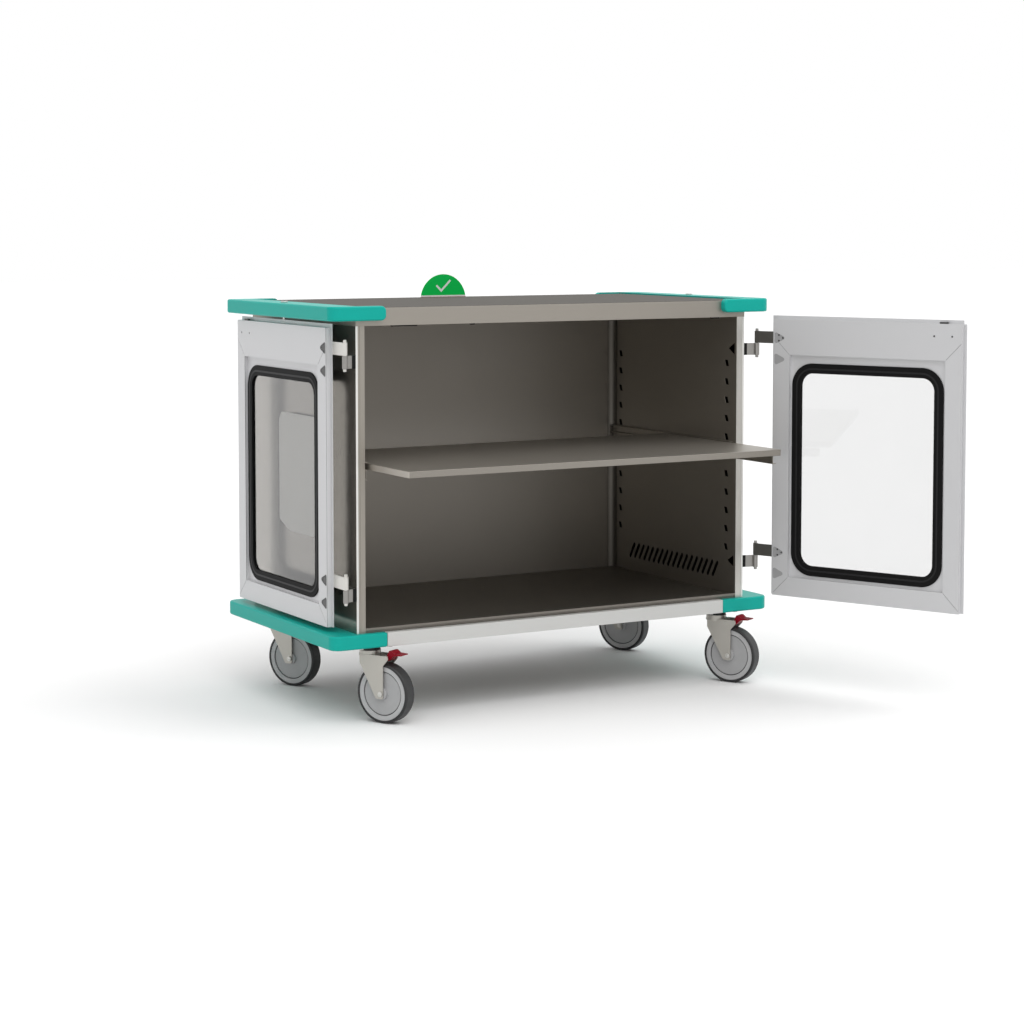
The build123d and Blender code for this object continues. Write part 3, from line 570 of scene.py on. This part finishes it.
class CART_OT_cabinet(bpy.types.Operator):
    """Finish the walls, floor, back and top"""

    bl_idname = "cart.cabinet"
    bl_label = "Cabinet"

    def execute(self, context):
        colour = finish_of("cabinet")
        walls = {}
        for hand in HANDS:
            low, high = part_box(f"{hand}_side_wall")
            # Painted shade: the inside of each hollow wall, seen through its slots and vents, is painted near
            # black
            patches = [(within(low, high, WALL_SHEET), (0.008, 0.007, 0.005, 1.0))]
            # Painted reflection: the front face of the right wall, its post, is painted lighter
            if hand == "right":
                patches.append((beyond(1, low.y + 0.002, -1), (0.60, 0.585, 0.55, 1.0)))
            outer = beyond(0, low.x + 0.001, -1) if hand == "left" else beyond(0, high.x - 0.001)
            walls[hand] = sheet_metal(
                f"{hand}_wall_sheet", colour, 0.85, 0.44, (900, 900, 6), patches=patches, glossy=outer
            )
        # Painted shade: the top face of the top panel is painted darker; it is also made dull and less metallic
        upper = beyond(2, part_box("top_panel")[1].z - CAP_SKIN)
        patches = [(upper, shade(colour, 0.3))]
        cap = sheet_metal("cap_sheet", colour, 0.85, 0.48, (6, 900, 900), patches=patches, dull=upper)
        # Painted shade: the back and the floor inside the cabinet get a darker copy of the cabinet steel
        inner = shade(colour, 0.69)
        pocket = (0.52, 0.51, 0.48, 1.0)
        low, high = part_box("back_panel")
        # Painted shade: the rounded coves in the back corners are painted darker
        cove_shade = [
            (beyond(0, high.x - COVE, 1), shade(colour, 0.4)),
            (beyond(0, low.x + COVE, -1), shade(colour, 0.4)),
        ]
        back = sheet_metal("back_sheet", inner, 0.85, 0.46, (900, 900, 6), patches=cove_shade)
        for node, material, width in (
            ("left_side_wall", walls["left"], 0.0006),
            ("right_side_wall", walls["right"], 0.0006),
            ("back_panel", back, 0.0006),
            ("floor_panel", sheet_metal("floor_sheet", inner, 0.85, 0.44, (6, 900, 900)), 0.0008),
            ("top_panel", cap, 0.0012),
            ("document_pocket", sheet_metal("pocket_sheet", pocket, 0.5, 0.36, (900, 900, 6)), 0.0004),
        ):
            finish_node(node, material, "cabinet", width)
        return {"FINISHED"}


class CART_OT_base(bpy.types.Operator):
    """Finish the base frame and its light kick rails"""

    bl_idname = "cart.base"
    bl_label = "Base"

    def execute(self, context):
        rail = sheet_metal("base_rail", finish_of("base"), 0.0, 0.45, (6, 900, 900), 0.02)
        for node in ("base_frame", "kick_rails"):
            finish_node(node, rail, "cabinet", 0.0010)
        return {"FINISHED"}


class CART_OT_post_trims(bpy.types.Operator):
    """Lay a bright strip in the band down each front post, its light colour a painted highlight on the post's edge
    """

    bl_idname = "cart.post_trims"
    bl_label = "Post trims"

    def execute(self, context):
        # Painted highlight: the strip stands in the post's band, and its light colour is the highlight on each
        # post's edge
        bright = sheet_metal("post_trim_highlight", (0.86, 0.85, 0.82, 1.0), 0.2, 0.3, (900, 900, 6), 0.02)
        width = context.scene.cart_finish.trim_width
        low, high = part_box("right_side_wall")
        for hand, sign in (("left", -1), ("right", 1)):
            xs = sorted((sign * (high.x - CLEAR), sign * (high.x - width)))
            piece = box(
                f"{hand}_post_trim",
                (xs[0], low.y + CLEAR, low.z + CLEAR),
                (xs[1], low.y + WALL_SHEET - CLEAR, high.z - CLEAR),
            )
            bpy.ops.mesh.subdivide(number_cuts=1)
            bpy.ops.object.mode_set(mode="OBJECT")
            round_edges(piece, 0.0004, 3)
            finish_piece(piece, bright, "cabinet", "bright_steel")
        return {"FINISHED"}


class CART_OT_bumpers(bpy.types.Operator):
    """Finish the four moulded bumpers"""

    bl_idname = "cart.bumpers"
    bl_label = "Bumpers"

    def execute(self, context):
        skin = moulded("bumper_skin", finish_of("bumper"), 0.38, specular=0.16)
        for hand in HANDS:
            for place in ("top", "bottom"):
                finish_node(f"{hand}_{place}_bumper", skin, "cabinet", 0.0025, 3, 40.0)
        return {"FINISHED"}


class CART_OT_doors(bpy.types.Operator):
    """Finish the doors, their windows and latch cases"""

    bl_idname = "cart.doors"
    bl_label = "Doors"

    def execute(self, context):
        colour = finish_of("door")
        rubber = moulded("window_rubber", (0.006, 0.006, 0.0062, 1.0), 0.6)
        pane = Paint("window_glass")
        smears = (pane.noise(6.0, 4.0) - 0.4).clamp()
        glass = pane.finish(
            Base_Color=pane.mix(smears, (0.77, 0.77, 0.77, 1.0), (0.73, 0.735, 0.735, 1.0)),
            Roughness=0.0,
            Transmission_Weight=1.0,
            IOR=1.45,
        )
        black = moulded("latch_black", (0.03, 0.03, 0.03, 1.0), 0.45)
        # Painted shade: the screws in the pad holes are painted near black for the shade in the holes
        dark = sheet_metal("hole_screw", (0.05, 0.05, 0.048, 1.0), 0.6, 0.4, (900, 900, 900))
        # Painted shade: the shallow pads for the hinge arms are painted dark, near black on the left door and a
        # darker grey on the right
        for hand, pad_shade in (("left", (0.09, 0.09, 0.09, 1.0)), ("right", shade(colour, 0.62))):
            door = Door(hand)
            low, high = door.span(f"{hand}_door_frame")
            patches = [
                # Painted shade: the floors of the mitre grooves are painted darker
                (between(door, high.y - MITRE_DEPTH, 0.0003), shade(colour, 0.45)),
                (between(door, high.y - PAD_DEPTH, 0.0002), pad_shade),
            ]
            sheet = sheet_metal(
                f"{hand}_door_sheet", colour, 0.25, 0.42, (900, 900, 6), 0.02, patches=patches
            )
            for part, material, width in (
                ("door_frame", sheet, 0.0004),
                ("door_skin", sheet, 0.0003),
                ("window_rubber", rubber, 0.0012),
                ("latch_case", black, 0.0006),
            ):
                finish_node(f"{hand}_{part}", material, f"{hand}_door", width)
            coat_node(f"{hand}_window_pane", glass)
            arms = door.span(f"{hand}_hinge_arms")
            case = door.span(f"{hand}_latch_case")
            latch = ((case[0].x + case[1].x) / 2, (case[0].z + case[1].z) / 2)
            holes = [
                (low.x + PAD_INSET + reach, middle + rise)
                for middle in (arms[0].z + HINGE_LEAF / 2, arms[1].z - HINGE_LEAF / 2)
                for reach, rise in PAD_HOLES
            ]
            holes += [(latch[0] + reach, latch[1]) for reach in (-LATCH_SCREW_REACH, LATCH_SCREW_REACH)]
            places = [
                facing(door.point(along, high.y - HOLE_DEPTH + CLEAR, up), door.inward)
                for along, up in holes
            ]
            head = screw_head(HOLE_SCREW, HOLE_SCREW_HEIGHT)
            piece = copies(head, f"{hand}_hole_screws", places)
            finish_piece(piece, dark, f"{hand}_door", "bright_steel")
        return {"FINISHED"}


class CART_OT_buffers(bpy.types.Operator):
    """Stick thin rubber buffers under the front edge of the top, where the doors close"""

    bl_idname = "cart.buffers"
    bl_label = "Door buffers"

    def execute(self, context):
        rubber = moulded("buffer_rubber", (0.006, 0.006, 0.006, 1.0), 0.6)
        low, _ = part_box("top_panel")
        for name, middle, length in BUFFERS:
            piece = box(
                name,
                (middle - length / 2, low.y + BUFFER_FRONT, low.z - BUFFER_DROP),
                (middle + length / 2, low.y + BUFFER_BACK, low.z - CLEAR),
            )
            pick_faces(piece, lambda face: face.normal.z < -0.9)
            bpy.ops.mesh.inset(thickness=BUFFER_RIM)
            bpy.ops.transform.translate(value=(0, 0, -BUFFER_SWELL))
            bpy.ops.object.mode_set(mode="OBJECT")
            round_edges(piece, 0.0003)
            finish_piece(piece, rubber, "cabinet", "black_rubber")
        return {"FINISHED"}


class CART_OT_filler_strips(bpy.types.Operator):
    """Let a filler strip into each window's rubber, inside and outside"""

    bl_idname = "cart.filler_strips"
    bl_label = "Filler strips"

    def execute(self, context):
        grey = moulded("filler_strip", (0.022, 0.022, 0.023, 1.0), 0.35)
        width = context.scene.cart_finish.strip_width
        for hand in HANDS:
            door = Door(hand)
            low, high = door.span(f"{hand}_window_rubber")
            strip = start("strip", bpy.ops.mesh.primitive_plane_add, size=1.0)
            size = (high.x - low.x - 2 * STRIP_INSET, high.z - low.z - 2 * STRIP_INSET, 1)
            bpy.ops.transform.resize(value=size)
            bpy.ops.mesh.bevel(offset=WINDOW_CORNER - STRIP_INSET, segments=12, affect="VERTICES")
            bpy.ops.mesh.select_mode(type="FACE")
            bpy.ops.mesh.select_all(action="SELECT")
            bpy.ops.mesh.inset(thickness=width)
            bpy.ops.mesh.delete(type="FACE")
            bpy.ops.mesh.select_all(action="SELECT")
            bpy.ops.mesh.extrude_region_move(TRANSFORM_OT_translate={"value": (0, 0, STRIP_HEIGHT)})
            bpy.ops.mesh.select_all(action="SELECT")
            bpy.ops.mesh.normals_make_consistent(inside=False)
            bpy.ops.object.mode_set(mode="OBJECT")
            round_edges(strip, 0.0002, 2, 50.0)
            middle = ((low.x + high.x) / 2, (low.z + high.z) / 2)
            inside = door.panel(middle[0], high.y + CLEAR, middle[1])
            outside = door.panel(middle[0], low.y - CLEAR, middle[1])
            turned = Matrix.Rotation(math.pi, 4, "Y")
            piece = copies(strip, f"{hand}_filler_strips", (inside, outside @ turned))
            finish_piece(piece, grey, f"{hand}_door", "black_rubber")
        return {"FINISHED"}


class CART_OT_shelf(bpy.types.Operator):
    """Finish the shelf, its rails and its runners"""

    bl_idname = "cart.shelf"
    bl_label = "Shelf and rails"

    def execute(self, context):
        colour = finish_of("cabinet")
        # Painted shade: the front edge of the shelf is painted darker. Painted light: the shelf sheet is a lighter
        # copy of the cabinet steel
        edge = beyond(1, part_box("shelf")[0].y + 0.001, -1)
        patches = [(edge, shade(colour, 0.85))]
        light = shade(colour, 1.3)
        sheet = sheet_metal("shelf_sheet", light, 0.85, 0.40, (6, 900, 900), patches=patches)
        rail = sheet_metal("rail_sheet", shade(colour, 1.1), 0.9, 0.36, (900, 6, 900))
        finish_node("shelf", sheet, "shelf", 0.0010, 3)
        finish_node("shelf_rails", rail, "cabinet", 0.0004)
        finish_node("shelf_runners", rail, "shelf", 0.0004)
        return {"FINISHED"}


class CART_OT_hinges(bpy.types.Operator):
    """Finish the hinges, with their screws and black spacers"""

    bl_idname = "cart.hinges"
    bl_label = "Hinges"

    def execute(self, context):
        steel = sheet_metal("hinge_steel", (0.66, 0.645, 0.61, 1.0), 0.7, 0.34, (900, 900, 6))
        # Painted shade: a near black band along the back of the hinge leaves
        band = beyond(1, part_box("right_hinge_leaves")[1].y - LEAF_SHADE_BAND)
        patches = [(band, (0.035, 0.034, 0.032, 1.0))]
        leaf = (0.30, 0.29, 0.275, 1.0)
        satin = sheet_metal("leaf_steel", leaf, 0.9, 0.34, (900, 900, 6), patches=patches)
        # Painted light and shade: the left hinge arms and pins get the light hinge steel, the right ones a dark
        # steel and the darker leaf steel
        shaded = sheet_metal("arm_steel_shade", (0.13, 0.125, 0.115, 1.0), 0.8, 0.34, (900, 900, 6))
        screw = sheet_metal("screw_steel", (0.55, 0.54, 0.52, 1.0), 0.9, 0.28, (900, 900, 900))
        black = moulded("spacer_black", (0.012, 0.012, 0.012, 1.0), 0.5)
        settings = context.scene.cart_finish
        for hand, sign in (("left", -1), ("right", 1)):
            door = Door(hand)
            finish_node(f"{hand}_hinge_leaves", satin, "cabinet", 0.0005)
            finish_node(f"{hand}_hinge_arms", steel if sign < 0 else shaded, f"{hand}_door", 0.0005)
            finish_node(f"{hand}_hinge_pins", steel if sign < 0 else satin, "cabinet", 0.0003)
            low, high = door.span(f"{hand}_hinge_arms")
            heights = (low.z + HINGE_LEAF / 2, high.z - HINGE_LEAF / 2)
            places = [
                facing(door.point(high.x - back, high.y - HINGE_SHEET, height), -door.inward)
                for height in heights
                for back in ARM_SCREWS
            ]
            head = screw_head(settings.screw_radius, HINGE_SCREW_HEIGHT)
            piece = copies(head, f"{hand}_arm_screws", places)
            finish_piece(piece, screw, f"{hand}_door", "bright_steel")

            low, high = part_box(f"{hand}_hinge_leaves")
            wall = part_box(f"{hand}_side_wall")[1 if sign > 0 else 0].x
            heights = (low.z + HINGE_LEAF / 2, high.z - HINGE_LEAF / 2)
            places = [
                facing(Vector((wall + sign * HINGE_SHEET, high.y - back, height)), (sign, 0, 0))
                for height in heights
                for back in LEAF_SCREWS
            ]
            head = screw_head(settings.screw_radius, HINGE_SCREW_HEIGHT)
            piece = copies(head, f"{hand}_leaf_screws", places)
            finish_piece(piece, screw, "cabinet", "bright_steel")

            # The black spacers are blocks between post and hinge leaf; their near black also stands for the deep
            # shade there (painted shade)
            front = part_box(f"{hand}_side_wall")[0].y
            across = sorted((sign * CLEAR, sign * settings.spacer_width))
            wedge = box(
                "wedge",
                (wall + across[0], front, -HINGE_LEAF / 2),
                (wall + across[1], front + SPACER_DEPTH, HINGE_LEAF / 2),
            )
            top = front + SPACER_DEPTH - CLEAR
            rise = (top - door.pin.y - SPACER_FALL) / abs(wall - door.pin.x)
            bpy.ops.mesh.bisect(
                plane_co=(wall, top, 0),
                plane_no=(sign * rise, 1, 0),
                use_fill=True,
                clear_outer=True,
            )
            bpy.ops.mesh.select_all(action="SELECT")
            bpy.ops.mesh.normals_make_consistent(inside=False)
            bpy.ops.object.mode_set(mode="OBJECT")
            round_edges(wedge, 0.0003)
            places = [Matrix.Translation((0, 0, height)) for height in heights]
            piece = copies(wedge, f"{hand}_hinge_spacers", places)
            finish_piece(piece, black, "cabinet", "latch_plastic")
        return {"FINISHED"}


class CART_OT_fittings(bpy.types.Operator):
    """Finish the latch bolts, hold pins and the small steel fittings"""

    bl_idname = "cart.fittings"
    bl_label = "Latches and fittings"

    def execute(self, context):
        steel = sheet_metal("fitting_steel", (0.60, 0.59, 0.57, 1.0), 0.9, 0.28, (900, 900, 6))
        dark = sheet_metal("bolt_dark", (0.07, 0.07, 0.07, 1.0), 0.6, 0.4, (900, 900, 6))
        for hand in HANDS:
            door = Door(hand)
            finish_node(f"{hand}_latch_bolt", dark, f"{hand}_latch", 0.0004)
            finish_node(f"{hand}_plunger", steel, f"{hand}_hold_pin", 0.0003)
            low, high = door.span(f"{hand}_latch_case")
            middle = (low.x + high.x) / 2
            places = [
                facing(door.point(middle + reach, low.y, (low.z + high.z) / 2), -door.inward)
                for reach in (-LATCH_SCREW_REACH, LATCH_SCREW_REACH)
            ]
            head = screw_head(context.scene.cart_finish.screw_radius, FLAT_SCREW_HEIGHT)
            piece = copies(head, f"{hand}_latch_screws", places)
            finish_piece(piece, steel, f"{hand}_door", "bright_steel")
        finish_node("disc_bracket", steel, "cabinet", 0.0004)
        finish_node("caster_bolts", steel, "cabinet", 0.0003)
        return {"FINISHED"}


class CART_OT_disc(bpy.types.Operator):
    """Finish the turning status disc, with a plain tick on its green half"""

    bl_idname = "cart.disc"
    bl_label = "Status disc"

    def stroke(self, across, up, start_point, end_point):
        """1 on a straight stroke of the tick between two points, and 0 off it."""
        run = Vector(end_point) - Vector(start_point)
        length = run.length
        run /= length
        half = TICK_HALF_WIDTH
        dx, dz = across - start_point[0], up - start_point[1]
        along = dx * run.x + dz * run.y
        beside = dx * -run.y + dz * run.x
        inside = (along > -half) * (along < length + half)
        return inside * (beside > -half) * (beside < half)

    def execute(self, context):
        paint = Paint("status_print")
        across, depth, up = paint.axes()
        low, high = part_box("status_disc")
        centre = (low.z + high.z) / 2
        middle = (low.x + high.x) / 2
        across = (across - middle) * ((depth < (low.y + high.y) / 2) * 2 - 1) + middle
        down_left, foot, up_right = ((x, centre + z) for x, z in TICK)
        tick = self.stroke(across, up, down_left, foot)
        tick = tick + self.stroke(across, up, foot, up_right)
        line = (up > centre + DISC_LINE[0]) * (up < centre + DISC_LINE[1])
        halves = paint.mix(up > centre + DISC_SPLIT, (0.42, 0.016, 0.02, 1.0), finish_of("disc"))
        mottle = paint.noise(40.0, 3.0)
        printed = paint.mix(mottle * 0.06, halves, (0.02, 0.02, 0.02, 1.0))
        white = (tick + line).clamp()
        material = paint.finish(
            Base_Color=paint.mix(white, printed, (0.82, 0.83, 0.82, 1.0)),
            Roughness=0.34 + mottle * 0.08,
            Specular_IOR_Level=0.15,
        )
        finish_node("status_disc", material, "disc", 0.0005)
        return {"FINISHED"}


class CART_OT_casters(bpy.types.Operator):
    """Finish the casters and cap their axles"""

    bl_idname = "cart.casters"
    bl_label = "Casters"

    def execute(self, context):
        steel = sheet_metal("fork_steel", (0.48, 0.46, 0.42, 1.0), 0.6, 0.34, (900, 900, 6))
        axle = sheet_metal("axle_steel", (0.62, 0.61, 0.58, 1.0), 0.8, 0.3, (900, 900, 900))
        red = moulded("pedal_red", finish_of("pedal"), 0.36)
        dark = moulded("race_dark", (0.035, 0.035, 0.036, 1.0), 0.4)
        for corner in CORNERS:
            for part, material, width, body in (
                ("fork", steel, 0.0010, "swivel"),
                ("axle", axle, 0.0006, "swivel"),
                ("brake_pedal", red, 0.0012, "pedal"),
                ("wheel", wheel_core(corner), 0.0007, "wheel"),
                ("tyre", tyre_tread(corner), 0.0006, "wheel"),
            ):
                finish_node(f"{corner}_{part}", material, f"{corner}_{body}", width)
            roll = JOINTS[f"{corner}_wheel_roll"]
            centre, axis = Vector(roll["pos_m"]), Vector(roll["axis"]).normalized()
            vertices = frame["nodes"][f"{corner}_axle"].data.vertices
            half = max((vertex.co - centre).dot(axis) for vertex in vertices)
            places = [facing(centre + axis * (side * half), axis * side) for side in (-1, 1)]
            head = screw_head(AXLE_CAP, FLAT_SCREW_HEIGHT)
            piece = copies(head, f"{corner}_axle_caps", places)
            finish_piece(piece, axle, f"{corner}_swivel", "fork_steel")
        finish_node("caster_plates", dark, "cabinet", 0.0005)
        return {"FINISHED"}


class CART_OT_stage(bpy.types.Operator):
    """Set the floor, the soft studio light and the camera"""

    bl_idname = "cart.stage"
    bl_label = "Floor, light and camera"

    def execute(self, context):
        scene = context.scene
        bpy.ops.object.select_all(action="DESELECT")
        bpy.ops.mesh.primitive_plane_add(size=80.0, location=(0, 0, 0))
        floor = context.active_object
        floor.name = "studio_floor"
        paint = Paint("studio_floor")
        floor.data.materials.append(
            paint.finish(
                Base_Color=paint.mix(paint.looked_at(), (0.78, 0.78, 0.78, 1.0), WHITE),
                Roughness=1.0,
                Specular_IOR_Level=0.0,
            )
        )

        scene.world = bpy.data.worlds.new("studio")
        sky = Tree(scene.world)
        way = sky.node("ShaderNodeTexCoord", {}, {}, "Generated")
        height = sky.node("ShaderNodeSeparateXYZ", {}, {0: way}, 2).clamp()
        light = sky.mix(height, (0.34, 0.34, 0.34, 1.0), (0.90, 0.90, 0.90, 1.0))
        light = sky.mix(sky.looked_at(), light, WHITE)
        sky.feed(sky.nodes["Background"].inputs["Color"], light)

        for name, strength, angle, direction in (
            ("key_light", 0.75, 34.0, (0.55, -0.30, 1.0)),
            ("front_light", 0.85, 44.0, (-0.30, -0.75, 1.0)),
        ):
            sun = bpy.data.lights.new(name, "SUN")
            sun.energy = strength
            sun.angle = math.radians(angle)
            lamp = bpy.data.objects.new(name, sun)
            scene.collection.objects.link(lamp)
            lamp.rotation_euler = Vector(direction).to_track_quat("Z", "Y").to_euler()

        camera = bpy.data.cameras.new("photo_camera")
        camera.sensor_width = 36.0
        camera.lens = CAMERA_LENS
        camera.shift_y = CAMERA_SHIFT
        view = bpy.data.objects.new("photo_camera", camera)
        scene.collection.objects.link(view)
        view.location = CAMERA_PLACE
        view.rotation_euler = CAMERA_TURN
        scene.camera = view
        scene.view_settings.view_transform = "Standard"
        return {"FINISHED"}


class CART_PT_sidebar(bpy.types.Panel):
    """The cart's pieces in the sidebar"""

    bl_idname = "CART_PT_sidebar"
    bl_label = "Closed case cart"
    bl_space_type = "VIEW_3D"
    bl_region_type = "UI"
    bl_category = "Case Cart"

    def draw(self, context):
        layout = self.layout
        for name in CartFinish.__annotations__:
            layout.prop(context.scene.cart_finish, name)
        for step in STEPS:
            layout.operator(step.bl_idname)


STEPS = (
    CART_OT_cabinet,
    CART_OT_base,
    CART_OT_post_trims,
    CART_OT_bumpers,
    CART_OT_doors,
    CART_OT_filler_strips,
    CART_OT_buffers,
    CART_OT_shelf,
    CART_OT_hinges,
    CART_OT_fittings,
    CART_OT_disc,
    CART_OT_casters,
    CART_OT_stage,
)
CLASSES = (CartFinish, *STEPS, CART_PT_sidebar)


def register():
    """Registers the classes and the finish settings."""
    for cls in CLASSES:
        bpy.utils.register_class(cls)
    bpy.types.Scene.cart_finish = bpy.props.PointerProperty(type=CartFinish)


def unregister():
    """Takes the settings and the classes away again."""
    del bpy.types.Scene.cart_finish
    for cls in reversed(CLASSES):
        bpy.utils.unregister_class(cls)


def main():
    """Finishes the cart piece by piece."""
    register()
    for step in STEPS:
        group, name = step.bl_idname.split(".")
        getattr(getattr(bpy.ops, group), name)()


if __name__ == "__main__":
    main()
